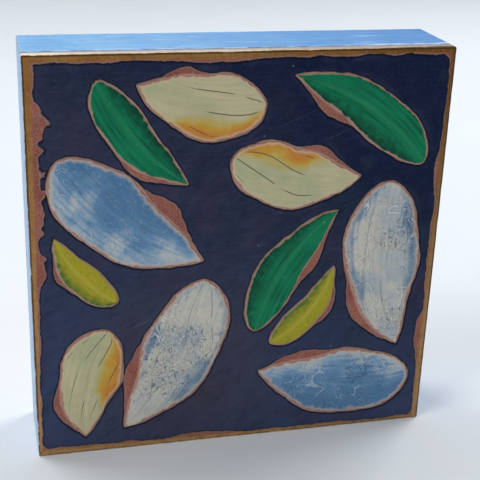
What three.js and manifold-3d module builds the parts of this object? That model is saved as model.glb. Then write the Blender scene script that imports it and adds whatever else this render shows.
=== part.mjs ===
// A cradled painting panel: a square plywood face board glued to four deep mitred rails, with
// its front coated in layers of paint. It stands upright on its bottom rail.
// Millimetres, +Z up. X runs across the painted face, which looks towards -Y. The origin is
// at the middle of the base.
import * as THREE from "three";
import Module from "manifold-3d";

// Wood: an 8 inch square board of 1/4 inch plywood on rails of 1 by 2 inch lumber.
const FACE_SIDE = 203.2;
const BOARD_THICKNESS = 6.35;
const RAIL_DEPTH = 38.1;
const RAIL_WIDTH = 19.05;

// Paint coats, as they lie on the board.
const GROUND_THICKNESS = 0.3;
const FIELD_THICKNESS = 0.5;
const RIM_HEIGHT = 0.5; // a leaf's height at its edge
const PASTE_CROWN = 1.3; // the height of a thick, pale leaf at its shoulders
const PAINT_CROWN = 0.9; // the height of any other leaf there
const GROOVE_DEPTH = 0.3; // how far the midrib is pressed below the shoulders
const SHOULDER = 0.72; // where a leaf's top is highest, as a share of its half width

// Torn edges: how far each coat stops short of the board's edge at the first and last end of the
// bottom, right, top and left side, going round from the bottom left, and how rough it is.
const GROUND_INSETS = [[3.1, 1.5], [3.0, 2.1], [2.0, 2.7], [2.9, 1.1]];
const GROUND_JAG = 0.6;
const FIELD_INSETS = [[4.5, 2.3], [4.2, 3.1], [2.8, 3.7], [4.8, 2.3]];
const FIELD_JAG = 1.1;
const EDGE_STEP = 7; // spacing of the points along a torn edge
const CORNER_INSET = 3; // how far in from a corner of the face they start
const REVEAL = 1.6; // width of bare ground between a leaf and the dark field
const PATCH_REACH = 0.16; // half length of a wider bare patch, as a share of the leaf

const TOTAL_DEPTH = RAIL_DEPTH + BOARD_THICKNESS + GROUND_THICKNESS + PASTE_CROWN;
const BACK_Y = TOTAL_DEPTH / 2;
const BOARD_BACK_Y = BACK_Y - RAIL_DEPTH;
const BOARD_FRONT_Y = BOARD_BACK_Y - BOARD_THICKNESS;
const GROUND_FRONT_Y = BOARD_FRONT_Y - GROUND_THICKNESS;
const FIELD_FRONT_Y = GROUND_FRONT_Y - FIELD_THICKNESS;
const HALF = FACE_SIDE / 2;

const LEAF_STATIONS = 16;
const WAVE_SHARE = 0.03; // height of the waves in a leaf's edge, as a share of its width

const FINISH = {
  birch: { color: "#d9c6a0", roughness: 0.6, metalness: 0 },
  blue: { color: "#86b4ea", roughness: 0.5, metalness: 0 },
  sienna: { color: "#8a5346", roughness: 0.85, metalness: 0 },
  navy: { color: "#23294a", roughness: 0.45, metalness: 0 },
  pale: { color: "#b9c2c6", roughness: 0.6, metalness: 0 },
  sky: { color: "#7f9fc6", roughness: 0.55, metalness: 0 },
  cream: { color: "#c9c294", roughness: 0.5, metalness: 0 },
  green: { color: "#0f6a45", roughness: 0.45, metalness: 0 },
  lime: { color: "#a3a32e", roughness: 0.5, metalness: 0 },
};

// The design, leaves scattered over the face. x and z are the middle of a leaf's midrib,
// measured from the middle of the face, tilt turns the leaf's tip up from +X, and bend is the
// turn of its midrib from base to tip, both in degrees. patch is the bare patch's width, its
// place along the leaf and its side.
const LEAVES = [
  { name: "leaf_pale_right", coat: "pale", length: 92, width: 39, bend: 35,
    x: 73, z: -10, tilt: 276, patch: { width: 4, at: 0.72, side: -1 } },
  { name: "leaf_pale_low", coat: "pale", length: 90, width: 38, bend: -38,
    x: -32, z: -53, tilt: 243, patch: { width: 5, at: 0.7, side: -1 } },
  { name: "leaf_sky_left", coat: "sky", length: 88, width: 37, bend: 38,
    x: -58, z: 21, tilt: 322, patch: { width: 5.5, at: 0.68, side: 1 } },
  { name: "leaf_sky_low", coat: "sky", length: 84, width: 37, bend: -35,
    x: 51, z: -74, tilt: 174, patch: { width: 4, at: 0.75, side: -1 } },
  { name: "leaf_cream_mid", coat: "cream", length: 66, width: 31, bend: 42,
    x: 25, z: 40, tilt: 349, patch: { width: 3, at: 0.7, side: 1 } },
  { name: "leaf_cream_top", coat: "cream", length: 62, width: 31, bend: -38,
    x: -22, z: 77, tilt: 170, patch: { width: 2.5, at: 0.7, side: -1 } },
  { name: "leaf_cream_low", coat: "cream", length: 60, width: 30, bend: 35,
    x: -76, z: -62, tilt: 258, patch: { width: 3, at: 0.74, side: -1 } },
  { name: "leaf_green_top", coat: "green", length: 82, width: 23, bend: 38,
    x: 60, z: 73, tilt: 146, patch: { width: 3, at: 0.72, side: 1 } },
  { name: "leaf_green_mid", coat: "green", length: 76, width: 22, bend: -42,
    x: 22, z: -5, tilt: 57, patch: { width: 3, at: 0.6, side: -1 } },
  { name: "leaf_green_left", coat: "green", length: 66, width: 20, bend: 35,
    x: -52, z: 61, tilt: 310, patch: { width: 2.5, at: 0.7, side: -1 } },
  { name: "leaf_lime_mid", coat: "lime", length: 52, width: 15, bend: 48,
    x: 36, z: -31, tilt: 52, patch: { width: 2, at: 0.6, side: -1 } },
  { name: "leaf_lime_left", coat: "lime", length: 46, width: 15, bend: -42,
    x: -79, z: -4, tilt: 130, patch: { width: 1.5, at: 0.6, side: 1 } },
];

// Places where the dark field is torn further back from the board's edge: the side, how far
// along it from its middle, how long half of it is, and how deep it reaches.
const TORN = [
  { side: "bottom", at: -18, reach: 14, depth: 1.2 },
  { side: "right", at: -50, reach: 11, depth: 3 },
  { side: "right", at: 40, reach: 9, depth: 1.4 },
  { side: "top", at: -16, reach: 17, depth: 1.4 },
  { side: "left", at: 70, reach: 6, depth: 4.5 },
  { side: "left", at: 42, reach: 18, depth: 2.2 },
  { side: "left", at: 1, reach: 7, depth: 4 },
];

const wasm = await Module();
wasm.setup();

const radians = THREE.MathUtils.degToRad;

// A repeatable stream of numbers from 0 to 1.
function stream(seed) {
  let state = seed;
  return () => {
    state = (state * 1664525 + 1013904223) % 4294967296;
    return state / 4294967296;
  };
}

// A closed body from rows of points that run round it, each row joined to the next. The first
// and last rows are pinched, so points that fall together become one.
function skinned(rows) {
  const points = [];
  const known = new Map();
  const indexOf = (point) => {
    const key = point.map((value) => value.toFixed(5)).join(" ");
    if (!known.has(key)) {
      known.set(key, known.size);
      points.push(...point);
    }
    return known.get(key);
  };
  const ids = rows.map((row) => row.map(indexOf));
  const triangles = [];
  const add = (a, b, c) => {
    if (a !== b && b !== c && c !== a) triangles.push(a, b, c);
  };
  for (let i = 0; i + 1 < ids.length; i++) {
    const count = ids[i].length;
    for (let j = 0; j < count; j++) {
      const next = (j + 1) % count;
      add(ids[i][j], ids[i + 1][j], ids[i + 1][next]);
      add(ids[i][j], ids[i + 1][next], ids[i][next]);
    }
  }
  return geometryOf(points, triangles);
}

// A flat plate of an outline of [x, z] points, between two depths.
function plate(outline, frontY, backY) {
  const contour = outline.map(([x, z]) => new THREE.Vector2(x, z));
  if (THREE.ShapeUtils.isClockWise(contour)) {
    contour.reverse();
  }
  const faces = THREE.ShapeUtils.triangulateShape(contour, []);
  const count = contour.length;
  const points = [];
  for (const y of [frontY, backY]) {
    for (const point of contour) points.push(point.x, y, point.y);
  }
  const triangles = [];
  for (const [a, b, c] of faces) {
    triangles.push(a, b, c, count + c, count + b, count + a);
  }
  for (let i = 0; i < count; i++) {
    const next = (i + 1) % count;
    triangles.push(i, count + i, count + next, i, count + next, next);
  }
  return geometryOf(points, triangles);
}

function geometryOf(points, triangles) {
  const geometry = new THREE.BufferGeometry();
  geometry.setAttribute("position", new THREE.Float32BufferAttribute(points, 3));
  geometry.setIndex(triangles);
  geometry.computeVertexNormals();
  return geometry;
}

function solidOf(geometry) {
  return new wasm.Manifold(
    new wasm.Mesh({
      numProp: 3,
      vertProperties: new Float32Array(geometry.attributes.position.array),
      triVerts: new Uint32Array(geometry.index.array),
    }),
  );
}

function geometryOfSolid(solid) {
  const mesh = solid.getMesh();
  return geometryOf([...mesh.vertProperties], [...mesh.triVerts]);
}

function piece(name, geometry, coat) {
  const mesh = new THREE.Mesh(geometry, new THREE.MeshStandardMaterial(FINISH[coat]));
  mesh.name = name;
  return mesh;
}

// A leaf's half width at share s of its length: round at the base, drawn out at the tip. It
// goes as s^0.6 (1-s)^0.95, scaled to reach half the width at its widest, with waves in it.
function halfWidth(leaf, s, side) {
  const swell = (s ** 0.6 * (1 - s) ** 0.95) / 0.3553;
  const phase = leaf.tilt + 2 * side;
  const wave = WAVE_SHARE * leaf.width * Math.sin(4 * Math.PI * s + phase) * 4 * s * (1 - s);
  return (leaf.width / 2) * swell + wave;
}

// The point at share s of a leaf's length and a signed distance off its midrib, which is an
// arc of the leaf's bend, as [x, z] in the leaf's own frame.
function onLeaf(leaf, s, across) {
  const radius = leaf.length / radians(leaf.bend);
  const angle = (s - 0.5) * radians(leaf.bend);
  return [
    (radius - across) * Math.sin(angle),
    radius - (radius - across) * Math.cos(angle),
  ];
}

function stations(count) {
  return Array.from({ length: count + 1 }, (_, i) => (1 - Math.cos((Math.PI * i) / count)) / 2);
}

// A leaf's body: it rises from its rim to two shoulders and dips to the midrib between them.
// The shoulders fade out towards both ends.
function leafBody(leaf) {
  const full = leaf.coat === "pale" || leaf.coat === "sky" ? PASTE_CROWN : PAINT_CROWN;
  const rows = stations(LEAF_STATIONS).map((s) => {
    const fade = Math.min(1, 5 * s * (1 - s));
    const crown = RIM_HEIGHT + (full - RIM_HEIGHT) * fade;
    const section = [
      [-1, 0],
      [-1, RIM_HEIGHT],
      [-SHOULDER, crown],
      [0, crown - GROOVE_DEPTH * fade],
      [SHOULDER, crown],
      [1, RIM_HEIGHT],
      [1, 0],
    ];
    return section.map(([across, height]) => {
      const half = halfWidth(leaf, s, Math.sign(across));
      const [x, z] = onLeaf(leaf, s, across * half);
      return [x, -height, z];
    });
  });
  return skinned(rows);
}

// The outline of the opening round a leaf: the leaf's own outline, longer and wider by the
// reveal, with a swelling on one side where the field is torn further back.
function openingOutline(leaf) {
  const length = leaf.length + 2 * REVEAL;
  const longer = { ...leaf, length, bend: (leaf.bend * length) / leaf.length };
  const side = (s, sign) => {
    const torn = leaf.patch.side === sign ? leaf.patch.width : 0;
    const swelling = torn * Math.exp(-(((s - leaf.patch.at) / PATCH_REACH) ** 2));
    const ends = Math.min(1, 12 * s * (1 - s));
    const half = halfWidth(longer, s, sign) + (REVEAL + swelling) * ends;
    return onLeaf(longer, s, sign * half);
  };
  const along = stations(LEAF_STATIONS);
  const there = along.map((s) => side(s, 1));
  const back = along.slice(1, -1).reverse().map((s) => side(s, -1));
  const turn = radians(leaf.tilt);
  return [...there, ...back].map(([x, z]) => [
    leaf.x + x * Math.cos(turn) - z * Math.sin(turn),
    leaf.z + x * Math.sin(turn) + z * Math.cos(turn) + HALF,
  ]);
}

// The torn outline of a coat: points along each side of the face, set in from its edge by the
// side's inset, a seeded roughness and the torn places.
function tornOutline(insets, jag, seed, torn) {
  const next = stream(seed);
  const sides = [
    { name: "bottom", along: [1, 0], inward: [0, 1] },
    { name: "right", along: [0, 1], inward: [-1, 0] },
    { name: "top", along: [-1, 0], inward: [0, -1] },
    { name: "left", along: [0, -1], inward: [1, 0] },
  ];
  const reach = HALF - CORNER_INSET;
  const count = Math.round((2 * reach) / EDGE_STEP);
  return sides.flatMap(({ name, along, inward }, side) =>
    Array.from({ length: count }, (_, i) => {
      const run = reach * ((2 * i) / count - 1);
      const inset = THREE.MathUtils.lerp(...insets[side], i / count);
      const place = run * (along[0] + along[1]);
      const tears = torn
        .filter((tear) => tear.side === name)
        .map((tear) => tear.depth * Math.exp(-(((place - tear.at) / tear.reach) ** 4)));
      const depth = inset + jag * (next() - 0.3) + Math.max(0, ...tears);
      return [
        along[0] * run - inward[0] * (HALF - depth),
        along[1] * run - inward[1] * (HALF - depth) + HALF,
      ];
    }),
  );
}

function faceBoard() {
  const geometry = new THREE.BoxGeometry(FACE_SIDE, BOARD_THICKNESS, FACE_SIDE);
  const mesh = piece("face_board", geometry, "birch");
  mesh.position.set(0, (BOARD_FRONT_Y + BOARD_BACK_Y) / 2, HALF);
  return mesh;
}

// The four rails, cut at 45 degrees where they meet.
function rails() {
  const corners = [[-1, -1], [1, -1], [1, 1], [-1, 1]];
  const at = (size) => corners.map(([x, z]) => [x * size, z * size + HALF]);
  const outer = at(HALF);
  const inner = at(HALF - RAIL_WIDTH);
  return ["bottom", "right", "top", "left"].map((name, i) => {
    const next = (i + 1) % 4;
    const outline = [outer[i], outer[next], inner[next], inner[i]];
    return piece("rail_" + name, plate(outline, BOARD_BACK_Y, BACK_Y), "blue");
  });
}

function groundCoat() {
  const outline = tornOutline(GROUND_INSETS, GROUND_JAG, 11, []);
  return piece("sienna_ground", plate(outline, GROUND_FRONT_Y, BOARD_FRONT_Y), "sienna");
}

// The dark field, with an opening cut for each leaf.
function fieldCoat() {
  const outline = tornOutline(FIELD_INSETS, FIELD_JAG, 29, TORN);
  let field = solidOf(plate(outline, FIELD_FRONT_Y, GROUND_FRONT_Y));
  for (const leaf of LEAVES) {
    const past = FIELD_THICKNESS;
    const cutter = plate(openingOutline(leaf), FIELD_FRONT_Y - past, GROUND_FRONT_Y + past);
    field = field.subtract(solidOf(cutter));
  }
  return piece("navy_field", geometryOfSolid(field), "navy");
}

function leaves() {
  return LEAVES.map((leaf) => {
    const mesh = piece(leaf.name, leafBody(leaf), leaf.coat);
    mesh.position.set(leaf.x, GROUND_FRONT_Y, leaf.z + HALF);
    mesh.rotation.y = -radians(leaf.tilt);
    return mesh;
  });
}

const cradle = new THREE.Group();
cradle.add(faceBoard(), ...rails());
const painting = new THREE.Group();
painting.add(groundCoat(), fieldCoat(), ...leaves());
const panel = new THREE.Group();
panel.add(cradle, painting);

export default panel;
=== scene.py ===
"""The looks of a cradled painting panel: a plywood face board on four mitred pine rails. The rails
are brushed light blue outside. The face carries an ochre wash, a reddish-brown ground, a torn dark
blue field and raised leaves in thick paste and paint.

Lengths are in millimetres until a mesh or a pattern is made, which turns them to metres."""

import math
from collections import namedtuple
from functools import partial

import bpy
import numpy as np
from mathutils import Matrix, Vector
from mathutils.geometry import delaunay_2d_cdt


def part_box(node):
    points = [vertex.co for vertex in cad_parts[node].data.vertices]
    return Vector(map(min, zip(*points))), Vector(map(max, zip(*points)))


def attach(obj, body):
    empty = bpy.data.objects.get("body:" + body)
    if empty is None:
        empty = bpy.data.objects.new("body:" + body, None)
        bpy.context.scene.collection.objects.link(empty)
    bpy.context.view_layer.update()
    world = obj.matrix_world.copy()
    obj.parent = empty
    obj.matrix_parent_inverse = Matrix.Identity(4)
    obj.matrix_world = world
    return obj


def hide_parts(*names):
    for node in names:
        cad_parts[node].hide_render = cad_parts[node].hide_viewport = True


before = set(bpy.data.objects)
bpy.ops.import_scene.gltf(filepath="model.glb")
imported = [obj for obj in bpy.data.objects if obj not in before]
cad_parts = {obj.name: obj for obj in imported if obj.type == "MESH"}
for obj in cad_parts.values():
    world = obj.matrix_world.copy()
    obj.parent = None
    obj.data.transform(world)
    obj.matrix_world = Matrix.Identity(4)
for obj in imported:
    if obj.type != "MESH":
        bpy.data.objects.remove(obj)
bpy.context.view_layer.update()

MM = 0.001

# ---------------------------------------------------------------- sizes, from the frame


def box_mm(node):
    """A CAD node's lowest and highest corner in millimetres."""
    low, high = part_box(node)
    return np.array(low) / MM, np.array(high) / MM


BOARD_LOW, BOARD_HIGH = box_mm("face_board")
HALF = BOARD_HIGH[0]
MIDDLE_Z = BOARD_HIGH[2] / 2
BOARD_FRONT_Y = BOARD_LOW[1]
BOARD_BACK_Y = BOARD_HIGH[1]
BACK_Y = box_mm("rail_top")[1][1]
RAIL_WIDTH = box_mm("rail_bottom")[1][2]
RAIL_DEPTH = BACK_Y - BOARD_BACK_Y
GROUND_FRONT_Y = box_mm("sienna_ground")[0][1]
GROUND_THICKNESS = BOARD_FRONT_Y - GROUND_FRONT_Y
FIELD_THICKNESS = GROUND_FRONT_Y - box_mm("navy_field")[0][1]

# Torn edges, as in the part's source: how far each coat stops short of the board's edge at the
# first and last end of the bottom, right, top and left side, how rough it is, and the seed.
GROUND_TEAR = ([(3.1, 1.5), (3.0, 2.1), (2.0, 2.7), (2.9, 1.1)], 0.6, 11)
FIELD_TEAR = ([(4.5, 2.3), (4.2, 3.1), (2.8, 3.7), (4.8, 2.3)], 1.1, 29)
EDGE_STEP = 7
CORNER_INSET = 3
# What is torn further off the dark field: its side, where, how far to both sides and how deep.
TORN = [
    ("bottom", -18, 14, 1.2),
    ("right", -50, 11, 3.0),
    ("right", 40, 9, 1.4),
    ("top", -16, 17, 1.4),
    ("left", 70, 6, 4.5),
    ("left", 42, 18, 2.2),
    ("left", 1, 7, 4.0),
]

# Leaves: bend and tilt in degrees, and the wider bare patch beside each one as its width, its
# share of the way along the leaf and its side. Where a leaf lies comes from its node's box.
Leaf = namedtuple("Leaf", "coat length width bend tilt patch")
LEAVES = {
    "leaf_pale_right": Leaf("pale", 92, 39, 35, 276, (4, 0.72, -1)),
    "leaf_pale_low": Leaf("pale", 90, 38, -38, 243, (5, 0.7, -1)),
    "leaf_sky_left": Leaf("sky", 88, 37, 38, 322, (5.5, 0.68, 1)),
    "leaf_sky_low": Leaf("sky", 84, 37, -35, 174, (4, 0.75, -1)),
    "leaf_cream_mid": Leaf("cream", 66, 31, 42, 349, (3, 0.7, 1)),
    "leaf_cream_top": Leaf("cream", 62, 31, -38, 170, (2.5, 0.7, -1)),
    "leaf_cream_low": Leaf("cream", 60, 30, 35, 258, (3, 0.74, -1)),
    "leaf_green_top": Leaf("green", 82, 23, 38, 146, (3, 0.72, 1)),
    "leaf_green_mid": Leaf("green", 76, 22, -42, 57, (3, 0.6, -1)),
    "leaf_green_left": Leaf("green", 66, 20, 35, 310, (2.5, 0.7, -1)),
    "leaf_lime_mid": Leaf("lime", 52, 15, 48, 52, (2, 0.6, -1)),
    "leaf_lime_left": Leaf("lime", 46, 15, -42, 130, (1.5, 0.6, 1)),
}
# The most that a leaf's swell reaches, its waves as a share of its width, the source's stations
# along it, its shoulders' place as a share of its half width, and its rim's height.
SWELL_TOP = 0.3553
WAVE_SHARE = 0.03
SOURCE_STATIONS = 16
SHOULDER = 0.72
RIM_HEIGHT = 0.5
# Between a leaf and the dark field: the ground that shows all round, a patch's reach as a share
# of the leaf's length, and how many times its width it is torn.
REVEAL = 0.75
PATCH_REACH = 0.16
PATCH_TORN = 1.3

# ---------------------------------------------------------------- curves and noise


def smooth(value):
    """The smooth step from 0 to 1."""
    held = np.clip(value, 0, 1)
    return held * held * (3 - 2 * held)


def bell(distance, width):
    """A bell curve: 1 at no distance, and about a third at the width."""
    return np.exp(-((distance / width) ** 2))


def rolled(distance, radius, least):
    """The height of a round shoulder, as a share: a quarter circle that starts upright from the
    least at the edge, and lies flat from the radius on."""
    left = 1 - np.clip(distance / radius, 0, 1)
    return least + (1 - least) * np.sqrt(1 - left * left)


def turned(x, z, degrees):
    """A place in the face's plane, turned about the origin from x towards z."""
    angle = math.radians(degrees)
    return x * math.cos(angle) - z * math.sin(angle), x * math.sin(angle) + z * math.cos(angle)


def stations(count):
    """Shares of a length, closer together at both ends, as the cosine of even steps."""
    return (1 - np.cos(np.pi * np.arange(count + 1) / count)) / 2


def crowded(count):
    """Shares of a side, even but for its last fiftieth at each end, where 40 stations crowd."""
    share = np.unique(np.concatenate([stations(40) * 0.02, np.linspace(0.02, 0.98, count)]))
    return np.unique(np.concatenate([share, 1 - share]).round(9))


def value_noise(x, z, seed):
    """Random heights on whole-number points, from the fraction of a large sine, blended smoothly
    between the four nearest ones. It runs from -1 to 1."""
    col, row = np.floor(x), np.floor(z)
    u, v = smooth(x - col), smooth(z - row)

    def height(i, j):
        raw = np.sin(i * 127.1 + j * 311.7 + seed * 74.7) * 43758.5453
        return 2 * (raw - np.floor(raw)) - 1

    low = height(col, row) * (1 - u) + height(col + 1, row) * u
    high = height(col, row + 1) * (1 - u) + height(col + 1, row + 1) * u
    return low * (1 - v) + high * v


def fractal(x, z, size, seed, octaves=4):
    """A sum of value noises, each half as large and half as high as the last. The first is size
    millimetres from point to point."""
    total, share = 0.0, 0.0
    for octave in range(octaves):
        scale = 2.0**octave / size
        total = total + value_noise(x * scale, z * scale, seed + 13 * octave) / 2**octave
        share += 0.5**octave
    return total / share


def ridges(x, z, size, width, seed):
    """Winding ridges of an even width along the lines where a bent noise crosses zero. The
    noise's height over its slope, held above a least slope, is the distance from such a line."""

    def bent(x, z):
        bent_x = x + 0.8 * size * fractal(x, z, 1.3 * size, seed + 5, 2)
        bent_z = z + 0.8 * size * fractal(x, z, 1.3 * size, seed + 9, 2)
        return fractal(bent_x, bent_z, size, seed, 2)

    step = 0.05
    here = bent(x, z)
    slope = np.hypot(bent(x + step, z) - here, bent(x, z + step) - here) / step
    return bell(here / np.maximum(slope, 0.6 / size), width)


def stream(seed, count):
    """The source's repeatable random numbers from 0 to 1."""
    found = []
    state = seed
    for _ in range(count):
        state = (state * 1664525 + 1013904223) % 4294967296
        found.append(state / 4294967296)
    return np.array(found)


# ---------------------------------------------------------------- meshes


def mesh_piece(name, points, triangles, marks, material, slot):
    """A piece at the origin from points in millimetres and triangles, which stands for the CAD
    node of its name. marks holds, under each attribute's name, one number or three for each
    point."""
    mesh = bpy.data.meshes.new(name)
    mesh.vertices.add(len(points))
    mesh.vertices.foreach_set("co", (points * MM).astype(np.float32).ravel())
    mesh.loops.add(3 * len(triangles))
    mesh.loops.foreach_set("vertex_index", triangles.astype(np.int32).ravel())
    mesh.polygons.add(len(triangles))
    mesh.polygons.foreach_set("loop_start", np.arange(0, 3 * len(triangles), 3, dtype=np.int32))
    mesh.update(calc_edges=True)
    mesh.shade_smooth()
    for label, values in marks.items():
        kind, field = ("FLOAT", "value") if values.ndim == 1 else ("FLOAT_VECTOR", "vector")
        attribute = mesh.attributes.new(label, kind, "POINT")
        attribute.data.foreach_set(field, values.astype(np.float32).ravel())
    mesh.materials.append(material)
    piece = bpy.data.objects.new("painted_" + name, mesh)
    bpy.context.scene.collection.objects.link(piece)
    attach(piece, "root")
    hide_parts(name)


def looped(rows, columns):
    """Triangles that join each closed loop of points to the next, for points numbered loop by
    loop."""
    i, j = np.meshgrid(np.arange(rows - 1), np.arange(columns), indexing="ij")
    after = (j + 1) % columns
    here, there = i * columns + j, (i + 1) * columns + j
    here_after, there_after = i * columns + after, (i + 1) * columns + after
    first = np.stack([here, there, there_after], -1).reshape(-1, 3)
    second = np.stack([here, there_after, here_after], -1).reshape(-1, 3)
    return np.vstack([first, second])


def fan(ring):
    """Triangles from a ring's first point to each later pair."""
    first = np.full(len(ring) - 2, ring[0])
    return np.stack([first, ring[1:-1], ring[2:]], -1)


def closed(points, triangles, marks):
    """The body with points that fall together made one, the triangles that this pinches shut
    taken out, and all of them turned to face outwards by the sign of the volume."""
    _, first, index = np.unique(
        np.round(points, 5), axis=0, return_index=True, return_inverse=True
    )
    merged = index.reshape(-1)[triangles]
    a, b, c = merged.T
    merged = merged[(a != b) & (b != c) & (c != a)]
    kept = points[first]
    corner = (kept - kept.mean(0))[merged]
    volume = np.einsum("ij,ij->", corner[:, 0], np.cross(corner[:, 1], corner[:, 2]))
    if volume < 0:
        merged = merged[:, ::-1]
    return kept, merged, {label: values[first] for label, values in marks.items()}


def swept_piece(name, points, triangles, marks, material, slot):
    """A closed piece from rows of points, with a row of marks for each."""
    flat = {label: values.reshape(-1, *values.shape[2:]) for label, values in marks.items()}
    mesh_piece(name, *closed(points.reshape(-1, 3), triangles, flat), material, slot)


# Which corners and crossings bound the solid part of a grid cell, for each sum of its solid
# corners: a to d are the corners, worth 1, 2, 4 and 8, and e to h the crossings after them.
CELL_LOOPS = {
    1: "aeh", 2: "bfe", 3: "abfh", 4: "cgf", 5: "aefcgh", 6: "ebcg", 7: "abcgh", 8: "dhg",
    9: "aegd", 10: "bfgdhe", 11: "abfgd", 12: "fcdh", 13: "aefcd", 14: "ebcdh", 15: "abcd",
}  # fmt: skip
LEAST_LEVEL = 0.03  # keeps a crossing off the grid's own points


def coat_body(step, inside, height, back_y):
    """A coat of paint that lies where inside(x, z) is above 0. Each cell of a square grid is cut
    along that line, the line's crossings found by proportion on the cell's sides. The front
    stands height(x, z, inside) in front of back_y. Walls run back from the edge to the flat
    back. Returns points, triangles and each point's inside value."""
    across = np.arange(-HALF, HALF + step, step)
    x, z = np.meshgrid(across, across + MIDDLE_Z, indexing="ij")
    level = inside(x, z)
    level = np.where(np.abs(level) < LEAST_LEVEL, np.copysign(LEAST_LEVEL, level), level)
    node = np.arange(level.size).reshape(level.shape)
    on_x, on_z = node + level.size, node + 2 * level.size
    corner = dict(a=node[:-1, :-1], b=node[1:, :-1], c=node[1:, 1:], d=node[:-1, 1:])
    corner.update(e=on_x[:-1, :-1], f=on_z[1:, :-1], g=on_x[:-1, 1:], h=on_z[:-1, :-1])
    solid = (level > 0).astype(int)
    code = solid[:-1, :-1] + 2 * solid[1:, :-1] + 4 * solid[1:, 1:] + 8 * solid[:-1, 1:]
    found = []
    for case, loop in CELL_LOOPS.items():
        ring = [corner[letter][code == case] for letter in loop]
        found += [np.stack([ring[0], ring[k], ring[k + 1]], -1) for k in range(1, len(ring) - 1)]
    triangles = np.vstack(found)

    def crossing(axis):
        ahead = np.roll(level, -1, axis)
        gap = np.where(level == ahead, 1, level - ahead)
        return step * np.clip(level / gap, 0, 1)

    flat_x = np.concatenate([x.ravel(), (x + crossing(0)).ravel(), x.ravel()])
    flat_z = np.concatenate([z.ravel(), z.ravel(), (z + crossing(1)).ravel()])
    reach = np.concatenate([level.ravel(), np.zeros(2 * level.size)])
    used, index = np.unique(triangles, return_inverse=True)
    triangles = index.reshape(-1, 3)
    x, z, reach = flat_x[used], flat_z[used], reach[used]
    front = np.stack([x, back_y - height(x, z, reach), z], -1)
    points, triangles = walled(front, triangles, back_y)
    return points, triangles, np.concatenate([reach, np.zeros(len(points) - len(reach))])


def sides_of(triangles, count):
    """The triangles' sides as pairs of points, first, second and third sides in turn, and each
    pair as one number, forwards and backwards. count is more than any point's number."""
    sides = np.stack([triangles.T, np.roll(triangles.T, -1, 0)], -1)
    return sides, sides @ (count, 1), sides @ (1, count)


def walled(front, triangles, back_y):
    """A front sheet made a closed body. The edge of the sheet is the triangles' sides that no
    other triangle runs along the other way. Walls join it to a copy of itself at back_y. The
    back is the triangulation of that copy alone."""
    count = len(front)
    sides, forward, backward = sides_of(triangles, count)
    edge = sides[~np.isin(forward, backward)]
    edge_points, index = np.unique(edge, return_inverse=True)
    start, end = index.reshape(-1, 2).T
    behind = front[edge_points].copy()
    behind[:, 1] = back_y
    near = np.stack([edge[:, 0], count + start, count + end], -1)
    far = np.stack([edge[:, 0], count + end, edge[:, 1]], -1)
    back = count + filled(behind[:, [0, 2]], start, end)[:, ::-1]
    return np.vstack([front, behind]), np.vstack([triangles, near, far, back])


def filled(flat, start, end):
    """Triangles that fill flat loops whose sides run from start to end with the inside on their
    left. The whole hull is triangulated with the sides kept. Triangles that meet across any
    other line are one region: each one's label is lowered to its neighbour's until none changes.
    The regions with a loop's side on their left are the inside."""
    size = len(flat)
    lines = np.stack([start, end], -1).tolist()
    hull = delaunay_2d_cdt([Vector(point) for point in flat.tolist()], lines, [], 0, 1e-7, False)
    found = np.array(hull[2])
    _, forward, backward = sides_of(found, size)
    loops = start * size + end
    on_left = np.isin(forward, loops)
    free = ~(on_left | np.isin(backward, loops))
    owner = np.broadcast_to(np.arange(len(found)), forward.shape)
    order = np.argsort(forward[free])
    keys, owners = forward[free][order], owner[free][order]
    spot = np.clip(np.searchsorted(keys, backward[free]), 0, len(keys) - 1)
    met = keys[spot] == backward[free]
    one, other = owner[free][met], owners[spot][met]
    label = np.arange(len(found))
    while True:
        lower = label.copy()
        np.minimum.at(lower, one, label[other])
        lower = lower[lower]
        if np.array_equal(lower, label):
            break
        label = lower
    return found[np.isin(label, label[on_left.any(0)])]


# ---------------------------------------------------------------- leaves


def half_width(leaf, s, side):
    """A leaf's half width at share s of its length: s^0.6 (1-s)^0.95, scaled to reach half the
    width at its widest, with waves in it."""
    swell = s**0.6 * (1 - s) ** 0.95 / SWELL_TOP
    wave = np.sin(4 * np.pi * s + leaf.tilt + 2 * side) * 4 * s * (1 - s)
    return leaf.width / 2 * swell + WAVE_SHARE * leaf.width * wave


def on_face(leaf, s, across):
    """The point at share s of a leaf's length and a signed distance off its midrib, an arc of
    the leaf's bend, turned by its tilt. Its origin is the middle of the midrib."""
    radius = leaf.length / math.radians(leaf.bend)
    angle = (s - 0.5) * math.radians(leaf.bend)
    x = (radius - across) * np.sin(angle)
    z = radius - (radius - across) * np.cos(angle)
    return turned(x, z, leaf.tilt)


def tapered(s, pace):
    """1 along a leaf, falling to 0 at both its ends."""
    return np.minimum(1, pace * s * (1 - s))


def leaf_place(name):
    """The middle of a leaf's midrib on the face: its outline's lowest corner meets its node's."""
    leaf = LEAVES[name]
    s = stations(SOURCE_STATIONS)
    edges = [on_face(leaf, s, side * half_width(leaf, s, side)) for side in (-1, 1)]
    lowest = np.array(edges).min(axis=(0, 2))
    low, _ = box_mm(name)
    return low[0] - lowest[0], low[2] - lowest[1]


PLACES = {name: leaf_place(name) for name in LEAVES}


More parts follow.
